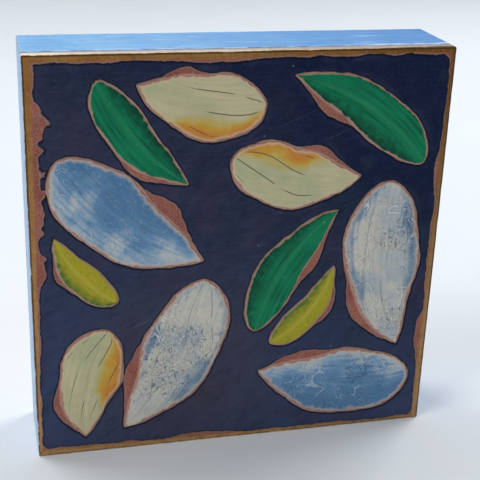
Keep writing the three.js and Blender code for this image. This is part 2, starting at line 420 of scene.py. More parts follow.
def leaf_level(name, x, z, reveal):
    """How far inside a leaf's outline each point lies, below 0 outside it. The angle about the
    centre of the midrib's arc gives the share s of the length, and the distance from that centre
    gives how far across the point is. The level is the half width there less that, over the
    length of its slope. A reveal makes the leaf longer and wider, with its patch on one side."""
    leaf = LEAVES[name]
    place_x, place_z = PLACES[name]
    u, v = turned(x - place_x, z - place_z, -leaf.tilt)
    radius = leaf.length / math.radians(leaf.bend)
    way = math.copysign(1, radius)
    across = radius - way * np.hypot(u, radius - v)
    length = leaf.length + 2 * reveal
    s = np.arctan2(way * u, way * (radius - v)) * radius / length + 0.5
    side = np.where(across < 0, -1, 1)
    patch_width, patch_at, patch_side = leaf.patch

    def edge(share):
        patch = patch_width * bell(share - patch_at, PATCH_REACH)
        torn = np.where(side == patch_side, PATCH_TORN * patch, 0) if reveal else 0
        return half_width(leaf, share, side) + (reveal + torn) * tapered(share, 12)

    held = np.clip(s, 2e-4, 1 - 2e-4)
    slope = (edge(held + 1e-4) - edge(held - 1e-4)) / (2e-4 * length)
    level = (edge(held) - np.abs(across)) / np.hypot(1, slope)
    beyond = np.maximum(np.maximum(-s, s - 1), 0) * length
    return np.where(beyond > 0, -np.hypot(beyond, across), level)


def paste_relief(x, z, along, across, seed):
    """Modelling paste pushed about with a knife, in millimetres: low broad steps and strokes
    along the leaf, and on them thin winding ridges where the tool lifted, cobbled patches and a
    patch of wormy pits. Returns the whole and the part that is tool marks."""
    zone = smooth(0.5 + 2.2 * fractal(x, z, 19, seed, 2))
    lifted = smooth(0.5 + 3 * fractal(x, z, 7, seed + 10, 2))
    steps = 0.22 * smooth(0.5 + 5 * fractal(x, z, 12, seed + 3, 2))
    strokes = 0.08 * fractal(along / 12, across / 1.1, 1, seed + 2, 2)
    winding = 0.42 * ridges(x, z, 6.5, 0.42, seed + 7) * zone * lifted
    short = 0.3 * ridges(x, z, 3.2, 0.34, seed + 8) * smooth(2 * zone - 0.8) * (1 - lifted)
    cobbles = 0.1 * np.abs(value_noise(x / 1.2, z / 1.2, seed + 1)) * smooth(1.1 - zone)
    pitted = smooth(2.5 * fractal(x, z, 21, seed + 6, 2) - 0.2)
    worms = np.abs(value_noise(x / 1.3, z / 1.3, seed + 4))
    pits = -0.34 * smooth(1 - worms / 0.3) * pitted
    tooled = winding + short + pits
    return steps + strokes + cobbles + tooled - 0.12, tooled


def paint_relief(x, z, along, across, seed):
    """Thick smooth paint, in millimetres: strokes along the leaf and a faint orange peel."""
    strokes = 0.06 * fractal(along / 12, across / 1.0, 1, seed, 3)
    peel = 0.03 * fractal(x, z, 1.8, seed + 2, 2)
    return strokes + peel + 0.04 * fractal(x, z, 7, seed + 5, 2), strokes


def dabbed_relief(x, z, along, across, seed):
    """Paint dabbed on with a stiff brush, in millimetres: small lumps drawn out across the
    leaf."""
    dabs = 0.1 * fractal(along / 1.1, across / 2.2, 1, seed, 3)
    return dabs + 0.05 * fractal(x, z, 5, seed + 5, 2), dabs


# For each coat: its crown's height, the room for relief under it, points along and across,
# relief, slot and how deep the midrib is pressed.
Coat = namedtuple("Coat", "crown room along across relief slot groove")
COATS = {
    "pale": Coat(1.3, 0.46, 420, 170, paste_relief, "pale_paste", 0.2),
    "sky": Coat(1.3, 0.46, 400, 166, paste_relief, "sky_paste", 0.2),
    "cream": Coat(0.9, 0.18, 240, 90, paint_relief, "cream_paint", 0.24),
    "green": Coat(0.9, 0.18, 260, 72, paint_relief, "green_paint", 0.34),
    "lime": Coat(0.9, 0.2, 220, 60, dabbed_relief, "lime_paint", 0.26),
}
GROOVE_WIDTH = 1.3
SUNK = 0.05  # how far a leaf's foot lies in the ground


def leaf_piece(name, seed, material):
    """A raised leaf. Each section rises round from its edge to a shoulder on each side and dips
    to the midrib between them, with the coat's relief on it. Its height is held under the
    crown's. The section's two lower corners close it behind."""
    leaf = LEAVES[name]
    coat = COATS[leaf.coat]
    shares = np.linspace(-1, 1, coat.across)
    s, share = np.meshgrid(stations(coat.along), shares, indexing="ij")
    along = s * leaf.length
    chips = 0.6 * fractal(along, 50 * np.sign(share), 5, seed + 31, 5)
    half = half_width(leaf, s, np.sign(share)) + chips * tapered(s, 12)
    across = share * half
    x, z = on_face(leaf, s, across)
    x, z = x + PLACES[name][0], z + PLACES[name][1]
    slope = np.gradient(half[:, -1], along[:, 0])[:, None]
    edge = np.maximum(half - np.abs(across), 0) / np.hypot(1, slope)
    fade = tapered(s, 5)
    swell = smooth(edge / (0.75 * (1 - SHOULDER) * leaf.width))
    midrib = coat.groove * bell(across, GROOVE_WIDTH)
    dip = fade * (midrib + 0.12 * smooth(1 - np.abs(share) / SHOULDER))
    inner = smooth(edge / 1.6)
    relief, tooled = coat.relief(x, z, along, across, seed)
    body = RIM_HEIGHT + (coat.crown - coat.room - RIM_HEIGHT) * fade * swell - dip + relief * inner
    height = np.minimum(body, coat.crown) * rolled(edge, 0.8, 0.3)
    top = np.stack([x, GROUND_FRONT_Y - height, z], -1)
    foot = top[:, [0, -1]].copy()
    foot[..., 1] = GROUND_FRONT_Y + SUNK
    points = np.concatenate([foot[:, :1], top, foot[:, 1:]], 1)
    marks = {
        "flow": np.stack([along * MM, across * MM, 0 * s], -1),
        "leaf": np.stack([s, share, edge], -1),
        "half": half,
        "tooled": tooled * inner,
    }
    rim = [0, *range(coat.across), coat.across - 1]
    marks = {label: values[:, rim] for label, values in marks.items()}
    faces = looped(coat.along + 1, coat.across + 2)
    swept_piece(name, points, faces, marks, material, coat.slot)


# ---------------------------------------------------------------- the two flat coats

SIDES = ("bottom", "right", "top", "left")
GROUND_STEP, FIELD_STEP = 0.85, 0.5
CORNER_WORN = 6.6  # off the dark field's corners, along the diagonal


def outer_level(x, z, tear, torn):
    """How far inside a coat's torn outline each point lies: the least, over the four sides, of
    its distance from the board's edge less the depth that the source gives at that place."""
    insets, jag, seed = tear
    count = round(2 * (HALF - CORNER_INSET) / EDGE_STEP)
    draws = stream(seed, 4 * count).reshape(4, count)
    share = np.arange(count) / count
    run = (HALF - CORNER_INSET) * (2 * share - 1)
    z = z - MIDDLE_Z
    levels = []
    for name, draw, (first, last) in zip(SIDES, draws, insets):
        draw = first + (last - first) * share + jag * (draw - 0.3)
        way = 1 if name in ("bottom", "right") else -1
        place = (run * way)[::way]
        tears = [d * np.exp(-(((place - at) / r) ** 4)) for n, at, r, d in torn if n == name]
        depth = draw[::way] + np.max([0 * place, *tears], axis=0)
        beside = x if name in ("bottom", "top") else z
        away = {"bottom": z, "right": -x, "top": -z, "left": x}[name] + HALF
        levels.append(away - np.interp(beside, place, depth))
    return np.min(levels, axis=0)


def ground_level(x, z):
    return outer_level(x, z, GROUND_TEAR, []) + 0.3 * fractal(x, z, 3.5, 61, 3)


def field_level(x, z):
    """How far inside the dark field each point lies. Its outline has chips and sharp nicks, deeper
    where it is torn, its corners are worn off, each leaf's opening is taken out of it, and it
    never reaches past the ground."""
    chips = 0.6 * fractal(x, z, 6, 71, 4)
    nicks = 0.9 * np.abs(fractal(x, z, 2.6, 77, 3)) - 0.25
    # Along the upper left, short of the corner, the edge is torn into teeth.
    upper = smooth((z - MIDDLE_Z + 20) / 30)
    torn = smooth((-82 - x) / 8) * upper * smooth((HALF + MIDDLE_Z - 12 - z) / 6)
    teeth = 2.8 * torn * np.clip(1 - 2.6 * np.abs(fractal(x, z, 8, 89, 2)), 0, 1)
    level = outer_level(x, z, FIELD_TEAR, TORN) + chips - nicks - teeth
    corner = (HALF - np.abs(x) + HALF - np.abs(z - MIDDLE_Z)) / math.sqrt(2) - CORNER_WORN
    level = np.minimum(level, corner + chips)
    level = np.minimum(level, ground_level(x, z) - 0.3)
    edge = 0.7 * fractal(x, z, 4, 79, 4)
    for name in LEAVES:
        level = np.minimum(level, edge - leaf_level(name, x, z, REVEAL))
    return level


def ground_piece(material):
    """The reddish-brown coat: thin, rough as cloth, and rounded at its edge."""

    def height(x, z, reach):
        rough = 0.035 * fractal(x, z, 1.8, 83, 2)
        return GROUND_THICKNESS * rolled(reach, 0.8, 0.3) + rough - 0.03

    points, faces, reach = coat_body(GROUND_STEP, ground_level, height, BOARD_FRONT_Y)
    x, _, z = points.T
    leaf = np.max([leaf_level(name, x, z, 0) for name in LEAVES], axis=0)
    marks = {"edge": reach, "field": field_level(x, z), "leaf": leaf}
    mesh_piece("sienna_ground", points, faces, marks, material, "sienna_coat")


def field_piece(material):
    """The dark blue coat: a bead of paint along its edge, and low brushed waves."""

    def height(x, z, reach):
        bead = 0.09 * bell(reach - 1.0, 0.6)
        waves = 0.02 * fractal(x, z, 6, 93, 3)
        return FIELD_THICKNESS * rolled(reach, 0.9, 0.35) + bead + waves

    points, faces, reach = coat_body(FIELD_STEP, field_level, height, GROUND_FRONT_Y)
    mesh_piece("navy_field", points, faces, {"edge": reach}, material, "navy_coat")


# ---------------------------------------------------------------- wood

# How round the arrises and the panel's four corners are.
ARRIS = 0.55
BACK_ARRIS = 0.3
CORNER = 0.9
GRAIN_APART = 250  # so that no two rails show the same grain


def corner_rounded(x, z):
    """Rounds the four corners of the face by their radius: in the square past it, a point moves
    in so that the square's outline becomes the arc."""
    z = z - MIDDLE_Z
    inner = HALF - CORNER
    u, v = np.maximum(np.abs(x) - inner, 0), np.maximum(np.abs(z) - inner, 0)
    both = np.hypot(u, v)
    pull = np.where(both > 0, np.maximum(u, v) / np.where(both > 0, both, 1), 1)
    x = np.where(u > 0, np.sign(x) * (inner + u * pull), x)
    z = np.where(v > 0, np.sign(z) * (inner + v * pull), z)
    return x, z + MIDDLE_Z


def wear(place, seed):
    """How far an arris is worn down, from 0 to 1, at each place along it."""
    return smooth(0.3 + 0.9 * fractal(place, 0 * place + seed, 9, 7, 4))


def rail_section():
    """A rail's section as a loop of (y, inset) points, inset being the distance in from the
    outer face. A quarter circle rounds each of its corners, at outer front, outer back, inner
    back and inner front, and the stretches between them are cut into steps."""
    # Each corner's y and inset, the way in from it along both, and its radius.
    corners = [
        (BOARD_BACK_Y, 0, 1, 1, 0.35),
        (BACK_Y, 0, -1, 1, ARRIS + 0.25),
        (BACK_Y, RAIL_WIDTH, -1, -1, ARRIS),
        (BOARD_BACK_Y, RAIL_WIDTH, 1, -1, 0.2),
    ]
    turn = np.linspace(0, np.pi / 2, 6)
    arcs = []
    for k, (y, inset, in_y, in_inset, radius) in enumerate(corners):
        from_y, from_inset = (np.cos(turn), np.sin(turn)) if k % 2 else (np.sin(turn), np.cos(turn))
        arc_y = y + in_y * radius * (1 - from_inset)
        arc_inset = inset + in_inset * radius * (1 - from_y)
        arcs.append(np.stack([arc_y, arc_inset], -1))
    whole = []
    for arc, after in zip(arcs, [*arcs[1:], arcs[0]]):
        steps = np.linspace(0, 1, 12)[1:-1, None]
        whole += [arc, arc[-1] + (after[0] - arc[-1]) * steps]
    return np.vstack(whole)


def rail_piece(name, turn, material):
    """A rail: its rounded section carried from mitre to mitre, where each point stops as far
    short of the corner as it lies in from the outer face. Its outer back arris is worn by a
    noise along it. The turn, in degrees, takes the bottom rail's shape to its own side."""
    section = rail_section()
    run, y = np.meshgrid(2 * crowded(240) - 1, section[:, 0], indexing="ij")
    inset = np.broadcast_to(section[:, 1], run.shape)
    along = run * (HALF - inset)
    worn = 0.2 * wear(along, 5 + turn / 90) * bell(np.hypot(BACK_Y - y, inset), 0.9)
    x, z = corner_rounded(along, inset + worn)
    mitre = HALF - inset - np.abs(along)
    grain = np.stack([along + GRAIN_APART * turn / 90, y - BOARD_BACK_Y, inset], -1) * MM
    x, z = turned(x, z - MIDDLE_Z, turn)
    points = np.stack([x, y - worn, z + MIDDLE_Z], -1)
    rows, columns = run.shape
    ring = np.arange(columns)
    ends = [fan(ring[::-1]), fan(ring + (rows - 1) * columns)]
    faces = np.vstack([looped(rows, columns), *ends])
    swept_piece(name, points, faces, {"grain": grain, "mitre": mitre}, material, "painted_rail")


def board_piece(material):
    """The face board: a profile from the middle of the back, over the edge and in to the middle
    of the front, carried round the square. Its front arris is worn by a noise along it."""
    quarter = np.linspace(0, np.pi / 2, 6)
    front, back = BOARD_FRONT_Y, BOARD_BACK_Y
    profile = [(inset, back) for inset in (HALF, 60, 20, 6, 2)]
    rise, run = 1 - np.sin(quarter), 1 - np.cos(quarter)
    profile += zip(BACK_ARRIS * rise, back - BACK_ARRIS * run)
    profile += [(0, y) for y in np.linspace(back - BACK_ARRIS, front + ARRIS, 10)[1:-1]]
    profile += zip(ARRIS * run, front + ARRIS * rise)
    profile += [(inset, front) for inset in (1, 2, 3, 4, 6, 20, 60, HALF)]
    inset, y = np.array(profile).T
    there = 2 * crowded(200)[:-1] - 1
    ones = np.ones_like(there)
    u = np.concatenate([there, ones, -there, -ones])
    v = np.concatenate([-ones, there, ones, -there])
    reach = (HALF - inset)[:, None]
    x, z = corner_rounded(reach * u, reach * v + MIDDLE_Z)
    near = bell(np.hypot(y - front, inset), 0.8)[:, None]
    worn = 0.18 * wear(HALF * (u - v), 3 + 0 * u) * near
    x = x - np.sign(x) * worn * (np.abs(u) == 1)
    z = z - np.sign(z - MIDDLE_Z) * worn * (np.abs(v) == 1)
    points = np.stack([x, y[:, None] + worn, z], -1)
    swept_piece("face_board", points, looped(len(inset), len(u)), {}, material, "plywood")


# ---------------------------------------------------------------- materials


def linear(hex_colour):
    """An sRGB hex colour as linear red, green, blue and alpha."""
    parts = [int(hex_colour[i : i + 2], 16) / 255 for i in (1, 3, 5)]
    return *(p / 12.92 if p < 0.04045 else ((p + 0.055) / 1.055) ** 2.4 for p in parts), 1.0


def add(tree, kind, inputs, output=0, **settings):
    """Adds a node with its settings. inputs gives each input, by name or number, a number, a hex
    colour or the output that feeds it. Returns one of its own outputs."""
    made = tree.nodes.new("ShaderNode" + kind)
    for label, value in settings.items():
        setattr(made, label, value)
    for label, value in inputs.items():
        if isinstance(value, bpy.types.NodeSocket):
            tree.links.new(value, made.inputs[label])
        else:
            made.inputs[label].default_value = linear(value) if isinstance(value, str) else value
    return made.outputs[output] if made.outputs else None


def started(name):
    """A new material, the function that adds a node to it, and the place on the object."""
    material = bpy.data.materials.new(name)
    material.use_nodes = True
    material.node_tree.nodes.clear()
    node = partial(add, material.node_tree)
    return material, node, node("TexCoord", {}, "Object")


def surfaced(node, colour, roughness, height, depth, specular):
    """Ends a material with its shader. The roughness gives a pattern, the pattern's values where
    it begins and stops changing, and the roughness at each. The height, from 0 to 1, stands for
    depth millimetres."""
    inputs = {"Base Color": colour, "Specular IOR Level": specular}
    inputs["Roughness"] = node("MapRange", dict(enumerate(roughness)))
    inputs["Normal"] = node("Bump", {"Height": height, "Distance": depth * MM, "Strength": 1.0})
    node("OutputMaterial", {"Surface": node("BsdfPrincipled", inputs)})


# Settings that many nodes share.
COLOUR = dict(output=2, data_type="RGBA")
TIMES = dict(operation="MULTIPLY")
MINUS = dict(operation="SUBTRACT")
HIGHER = dict(operation="MAXIMUM")
POSITIVE = dict(operation="ABSOLUTE")
TO_AND_FRO = dict(operation="PINGPONG")


def per(size):
    """A pattern's scale for features of a size in millimetres."""
    return 1 / (size * MM)


def drawn_out(node, place, factors, size, detail, **more):
    """A noise with features of a size in millimetres, drawn out along each axis whose factor is
    below 1."""
    mapped = node("Mapping", {0: place, 3: factors})
    return node("TexNoise", {"Vector": mapped, "Scale": per(size), "Detail": detail, **more})


def laid(node, colour, *layers):
    """Lays tints over a colour, each on the last. A layer gives a pattern, its values where the
    tint begins and is full, the tint's strength there and the tint. Any patterns after that hold
    it back."""
    for pattern, begins, full, strength, tint, *holds in layers:
        cover = node("MapRange", {0: pattern, 1: begins, 2: full, 4: strength})
        for hold in holds:
            cover = node("Math", {0: cover, 1: hold}, **TIMES)
        colour = node("Mix", {0: cover, 6: colour, 7: tint}, **COLOUR)
    return colour


def less(node, value, pattern, share):
    """A value less a share of a pattern, so that a line drawn at it follows the pattern."""
    part = node("Math", {0: pattern, 1: share}, **TIMES)
    return node("Math", {0: value, 1: part}, **MINUS)


def wandering(node, distance, noise, reach):
    """A distance that a noise swings by up to its reach both ways."""
    swing = node("MapRange", {0: noise, 1: 0.3, 2: 0.7, 3: -reach, 4: reach})
    return node("Math", {0: distance, 1: swing})


def blue_acrylic_on_pine():
    """Craft acrylic, thinned and brushed along each rail. Streaks, dashes, small pits and cloudy
    thin places run with the grain. The blue is painted lighter on the left and deepens to the right
    as painted shade, and the left face is painted paler and greyer as a painted highlight where
    light grazes it. The white undercoat shows along its wavy front edge, above a dark broken seam
    of painted shade, and on the worn back arris. It laps raggedly on to the bare pine behind, and a
    thin dark line marks each mitre."""
    material, node, place = started("brushed_blue_acrylic_on_pine")
    grain = node("Attribute", {}, "Vector", attribute_name="grain")
    mitre = node("Attribute", {}, "Fac", attribute_name="mitre")
    x = node("SeparateXYZ", {0: place}, "X")
    _, deep, inset = node("SeparateXYZ", {0: grain}).node.outputs
    streaks = drawn_out(node, grain, (0.03, 1, 1), 1.0, 4)
    wavy = drawn_out(node, grain, (0.03, 1, 1), 0.9, 3)
    drags = drawn_out(node, grain, (0.12, 1, 1), 3.4, 5)
    dashes = drawn_out(node, grain, (0.3, 1, 1), 2.4, 3)
    pits = drawn_out(node, grain, (0.4, 1, 1), 1.3, 1)
    rings = drawn_out(node, grain, (0.012, 1, 1), 9, 2, Distortion=0.6)
    clouds = node("TexNoise", {"Vector": grain, "Scale": per(30), "Detail": 3})
    ragged = node("TexNoise", {"Vector": grain, "Scale": per(7), "Detail": 5})

    # Where the paint lies: outside, and behind its wavy front edge.
    lap = less(node, inset, ragged, 0.008)
    outside = node("MapRange", {0: lap, 1: -0.0012, 2: -0.0015})
    gap = node("MapRange", {0: wavy, 1: 0.35, 2: 0.75, 3: -0.0006, 4: 0.0016})
    front = node("Math", {0: deep, 1: gap}, **MINUS)
    blue = node("MapRange", {0: front, 1: 0.0, 2: 0.0002})
    blue = node("Math", {0: blue, 1: outside}, **TIMES)

    # The paint itself, wearing thin towards its front edge.
    fading = node("MapRange", {0: x, 1: 0.03, 2: HALF * MM, 3: 0.003, 4: 0.0065})
    faded = less(node, front, ragged, fading)
    gathered = node("MapRange", {0: ragged, 1: 0.4, 2: 0.56})
    paint = laid(
        node,
        "#7bb0df",
        (clouds, 0.35, 0.65, 1, "#8fc1e8"),
        # painted shade: the blue deepens towards the right, leaving the left end painted lighter
        (x, -0.07, HALF * MM, 0.95, "#4583c6"),
        (drags, 0.48, 0.64, 0.45, "#6a9dd6"),
        (drags, 0.44, 0.32, 0.5, "#b0d3f0"),
        (dashes, 0.58, 0.68, 0.45, "#4b7ab2"),
        (pits, 0.6, 0.72, 0.5, "#4a76b4", gathered),
        # painted highlight: the left face, where light grazes it, is painted paler and greyer
        (x, (1 - HALF) * MM, (0.5 - HALF) * MM, 0.55, "#b3bfca"),
        (faded, 0.001, -0.0012, 0.75, "#cfdff1"),
    )

    # The wood, what covers it, and the broken seam of painted shade and the worn arris in that.
    rings = node("Math", {0: rings, 1: 9.0}, **TIMES)
    rings = node("Math", {0: rings, 1: 0.5}, **TO_AND_FRO)
    fibres = node("MapRange", {0: streaks, 1: 0.35, 2: 0.7, 4: 0.35})
    # painted shade: a dark broken line along the seam between the rail and the board
    seam_shade = node("MapRange", {0: dashes, 1: 0.4, 2: 0.6, 3: 0.0005, 4: 0.0016})
    seam_shade = node("Math", {0: deep, 1: seam_shade}, **MINUS)
    seam_shade = node("MapRange", {0: seam_shade, 1: 0.0001, 2: -0.0003, 4: 0.9})
    seam_shade = node("Math", {0: seam_shade, 1: outside}, **TIMES)
    behind = node("Math", {0: RAIL_DEPTH * MM, 1: deep}, **MINUS)
    arris = node("Math", {0: behind, 1: inset}, **HIGHER)
    chafed = less(node, arris, ragged, 0.0026)
    colour = laid(
        node,
        "#e2c99b",
        (rings, 0.22, 0.46, 1, "#c9a469"),
        (fibres, 0, 1, 1, "#b48f5a"),
        (front, -0.0008, -0.0006, 1, "#e9edf1", outside),
        (blue, 0, 1, 1, paint),
        # painted shade in the seam, with the pits in it darkened as well
        (seam_shade, 0, 1, 1, "#6f80a3"),
        (pits, 0.44, 0.54, 0.9, "#39435a", seam_shade),
        (chafed, -0.0002, -0.0005, 0.8, "#e3ecf5"),
        (mitre, 0.22, 0.05, 0.55, "#5b5348"),
    )
    height = node("Mix", {0: blue, 2: fibres, 3: streaks})
    surfaced(node, colour, (blue, 0, 1, 0.66, 0.5), height, 0.12, 0.4)
    return material


def rubbed_ochre(node, place):
    """The colour of ochre acrylic rubbed thinly over the face's margin: cloudy and speckled,
    deeper to the right as painted shade and paler downwards as painted light."""
    x, _, z = node("SeparateXYZ", {0: place}).node.outputs
    clouds, mottle, grit = (
        node("TexNoise", {"Vector": place, "Scale": per(size), "Detail": detail})
        for size, detail in ((22, 4), (2.6, 5), (0.9, 2))
    )
    return laid(
        node,
        "#95652a",
        (clouds, 0.32, 0.68, 1, "#ad7d40"),
        # painted shade: the ochre deepens towards the right
        (x, 0, 0.08, 0.9, "#784b0b"),
        (z, 0.18, 0.06, 0.7, "#c49a66"),
        # painted light: the ochre is paler towards the bottom
        (mottle, 0.48, 0.68, 0.5, "#7a501e"),
        (grit, 0.58, 0.68, 0.4, "#cda26a"),
    )


PLIES = 5


def birch_plywood():
    """Quarter inch birch plywood. Its edge shows its plies, their glue lines and end grain. Thin
    blue covers the sides' edges and laps on to the others from behind, a warm wash deepens to
    the right, and the left end of the edge is painted whiter as a painted highlight. The front is
    rubbed with ochre, darkened beside the arris as painted shade and worn off the lower arris,
    and the back is bare."""
    material, node, place = started("birch_plywood_with_ochre_wash")
    x, y, z = node("SeparateXYZ", {0: place}).node.outputs
    fibres = drawn_out(node, place, (0.05, 1, 0.05), 0.35, 3)
    figure = drawn_out(node, place, (1, 1, 0.03), 2.4, 4, Distortion=0.4)
    brushed = drawn_out(node, place, (1, 1, 0.04), 0.9, 4)
    pores = node("TexNoise", {"Vector": place, "Scale": per(0.5), "Detail": 3})
    mottle = node("TexNoise", {"Vector": place, "Scale": per(3.2), "Detail": 4})

    # The edge and the back.
    ply = (BOARD_BACK_Y - BOARD_FRONT_Y) / PLIES * MM
    deep = node("Math", {0: y, 1: BOARD_FRONT_Y * MM}, **MINUS)
    glue = node("Math", {0: deep, 1: ply}, **TO_AND_FRO)
    pair = node("Math", {0: deep, 1: 2 * ply}, operation="DIVIDE")
    pair = node("Math", {0: pair}, operation="FRACT")
    end_grain = node("Math", {0: pair, 1: 0.5}, operation="GREATER_THAN")
    cross_ply = laid(node, "#d9c8ae", (pores, 0.35, 0.65, 1, "#b59c7c"))
    veneer = laid(node, "#e5d2ab", (figure, 0.3, 0.7, 1, "#cdb184"))
    blue = laid(node, "#c6d3e4", (brushed, 0.38, 0.62, 1, "#93b6e0"))
    covered = node("MapRange", {0: brushed, 1: 0.28, 2: 0.36})
    sideways = node("Math", {0: x}, **POSITIVE)
    side = less(node, sideways, mottle, 0.0008)
    lapped = less(node, deep, mottle, -0.004)
    washed = node("Math", {0: x, 1: 6.0}, **TIMES)
    washed = node("Math", {0: washed, 1: mottle})
    wood = laid(
        node,
        "#e6dac7",
        (fibres, 0.3, 0.7, 1, "#d3c3aa"),
        (end_grain, 0, 1, 1, cross_ply),
        (glue, 0.00012, 0.00004, 0.6, "#8c6a45"),
        # painted highlight: the left end of the edge is painted whiter
        (x, -0.06, -0.1, 0.7, "#fae9d6"),
        (washed, 0.4, 1.0, 0.85, "#ab8a62"),
        (lapped, 0.0042, 0.007, 0.9, "#8f96a8"),
        (side, (HALF - 0.75) * MM, (HALF - 0.65) * MM, 0.9, blue, covered),
        (y, (BOARD_BACK_Y - 0.1) * MM, (BOARD_BACK_Y - 0.05) * MM, 1, veneer),
    )

    # The front, and how far its ochre laps on to the edge.
    upward = node("Math", {0: z, 1: MIDDLE_Z * MM}, **MINUS)
    upward = node("Math", {0: upward}, **POSITIVE)
    outward = node("Math", {0: sideways, 1: upward}, **HIGHER)
    ochre = laid(
        node,
        rubbed_ochre(node, place),
        # painted shade: a dark band just inside the front arris
        (outward, (HALF - 1.2) * MM, (HALF - 0.8) * MM, 0.85, "#4a300f"),
        (less(node, z, mottle, 0.0009), 0.0002, 0, 0.9, "#f6dcc3"),
    )
    reach = node("MapRange", {0: x, 1: 0.06, 2: HALF * MM, 3: 0.0009, 4: 0.0045})
    front = less(node, deep, mottle, reach)
    front = node("MapRange", {0: front, 1: -0.0001, 2: -0.0003})
    colour = node("Mix", {0: front, 6: wood, 7: ochre}, **COLOUR)
    height = node("Mix", {0: front, 2: fibres, 3: pores})
    surfaced(node, colour, (front, 0, 1, 0.62, 0.5), height, 0.1, 0.2)
    return material


def sienna_ground_coat():
    """Burnt sienna acrylic, dry-brushed over primed cloth-like tooth: matte, with light and dark
    specks under a millimetre across. The margin's ochre is rubbed over its outer edge, a greyish
    pink line follows the dark field with a painted shade at its very foot, and a peach one each
    leaf."""
    material, node, place = started("dry_brushed_burnt_sienna")
    tooth, clouds, breaks = (
        node("TexNoise", {"Vector": place, "Scale": per(size), "Detail": detail})
        for size, detail in ((0.75, 3), (13, 4), (4, 4))
    )
    edge, field, leaf = (
        wandering(node, node("Attribute", {}, "Fac", attribute_name=name), breaks, 0.25)
        for name in ("edge", "field", "leaf")
    )
    colour = laid(
        node,
        "#97584b",
        (clouds, 0.35, 0.65, 1, "#ad7060"),
        (tooth, 0.5, 0.36, 0.6, "#7a4238"),
        (tooth, 0.55, 0.68, 0.6, "#c9958a"),
        (edge, 1.5, 0.3, 0.75, rubbed_ochre(node, place)),
        (field, -1.0, -0.5, 0.6, "#a08884"),
        # painted shade: a dark line at the foot of the dark field's edge
        (field, -0.28, -0.05, 0.8, "#3b2b35"),
        (leaf, -0.9, -0.3, 0.8, "#cba596"),
    )
    surfaced(node, colour, (tooth, 0, 1, 0.95, 0.75), tooth, 0.14, 0.25)
    return material


def navy_field_coat():
    """Satin acrylic in dark blue, deepened at the top right as painted shade and lighter at the
    bottom as painted light. Plum and green-grey washes lie on it in clouds, and a brownish one
    low in the middle. A broad brush is dragged across them, and leaves fine level lines. A few
    scratches catch the light, pale specks are stuck in it, and it darkens at its torn edge, inside
    a purple fringe here and there."""
    material, node, place = started("satin_navy_acrylic")
    x, _, z = node("SeparateXYZ", {0: place}).node.outputs
    edge = node("Attribute", {}, "Fac", attribute_name="edge")
    level, swept, leaning = (
        node("Mapping", {0: place, 2: (0, turn, 0), 3: (length, 1, 1)}, vector_type="TEXTURE")
        for turn, length in ((0.05, 8), (-0.7, 2.5), (-0.4, 50))
    )
    lines, brushed, scratches, broad, clouds, fine = (
        node("TexNoise", {"Vector": along, "Scale": per(size), "Detail": detail, **more})
        for along, size, detail, more in (
            (level, 1.0, 3, {}),
            (swept, 3.5, 6, {"Roughness": 0.65}),
            (leaning, 1.6, 4, {"Distortion": 0.1}),
            (place, 60, 3, {}),
            (place, 24, 5, {"Distortion": 0.5}),
            (place, 1.1, 4, {}),
        )
    )
    specks = node("TexVoronoi", {"Vector": place, "Scale": per(13)}, "Distance")

    # Where the washes lie, and where the painted shade and the painted light fall.
    shaded_upper_right = less(node, x, broad, -0.12)
    shaded_upper_right = node("Math", {0: shaded_upper_right, 1: z})
    elsewhere = node("MapRange", {0: shaded_upper_right, 1: 0.28, 2: 0.176, 3: 0.25})
    bottom = less(node, z, x, -0.25)
    middle = node("VectorMath", {0: place, 1: (-0.032, 0, 0.04)}, "Value", operation="DISTANCE")
    middle = less(node, middle, clouds, -0.04)
    few = node("MapRange", {0: broad, 1: 0.47, 2: 0.6})
    in_places = node("MapRange", {0: clouds, 1: 0.45, 2: 0.6})
    rim = wandering(node, edge, fine, 0.2)
    colour = laid(
        node,
        "#2b334d",
        # painted shade: the blue is deepest towards the top right
        (shaded_upper_right, 0.15, 0.28, 1, "#03173a"),
        # painted light: the blue is lighter towards the bottom
        (bottom, 0.1, 0.02, 0.85, "#394a6d"),
        (clouds, 0.47, 0.68, 0.6, "#3f354b", elsewhere),
        (clouds, 0.44, 0.28, 0.6, "#243a4c"),
        (middle, 0.085, 0.045, 0.8, "#453f4c"),
        (brushed, 0.5, 0.72, 0.3, "#455069", elsewhere),
        (lines, 0.48, 0.7, 0.22, "#4d4a5e", elsewhere),
        (brushed, 0.46, 0.3, 0.4, "#161d33"),
        (scratches, 0.66, 0.7, 0.18, "#7c84a3", few),
        (fine, 0.48, 0.72, 0.12, "#48536f"),
        (specks, 0.024, 0.012, 0.8, "#c9c4b4"),
        (rim, 3.4, 1.6, 0.3, "#3a3f63", in_places),
        (rim, 0.9, 0.35, 0.8, "#10111f"),
    )
    surfaced(node, colour, (clouds, 0.3, 0.7, 0.38, 0.5), fine, 0.05, 0.12)
    return material


def leaf_started(name, factor, width):
    """A leaf's new material and what its patterns follow: the place, brush strokes of a width in
    millimetres that a factor draws out along the leaf, and how far along, across and in from the
    edge each point is."""
    material, node, place = started(name)
    flow = node("Attribute", {}, "Vector", attribute_name="flow")
    strokes = drawn_out(node, flow, (factor, 1, 1), width, 4)
    leaf = node("Attribute", {}, "Vector", attribute_name="leaf")
    along, across, edge = node("SeparateXYZ", {0: leaf}).node.outputs
    return material, node, place, strokes, along, across, edge


LINE_SPACING = 0.3  # of the half width


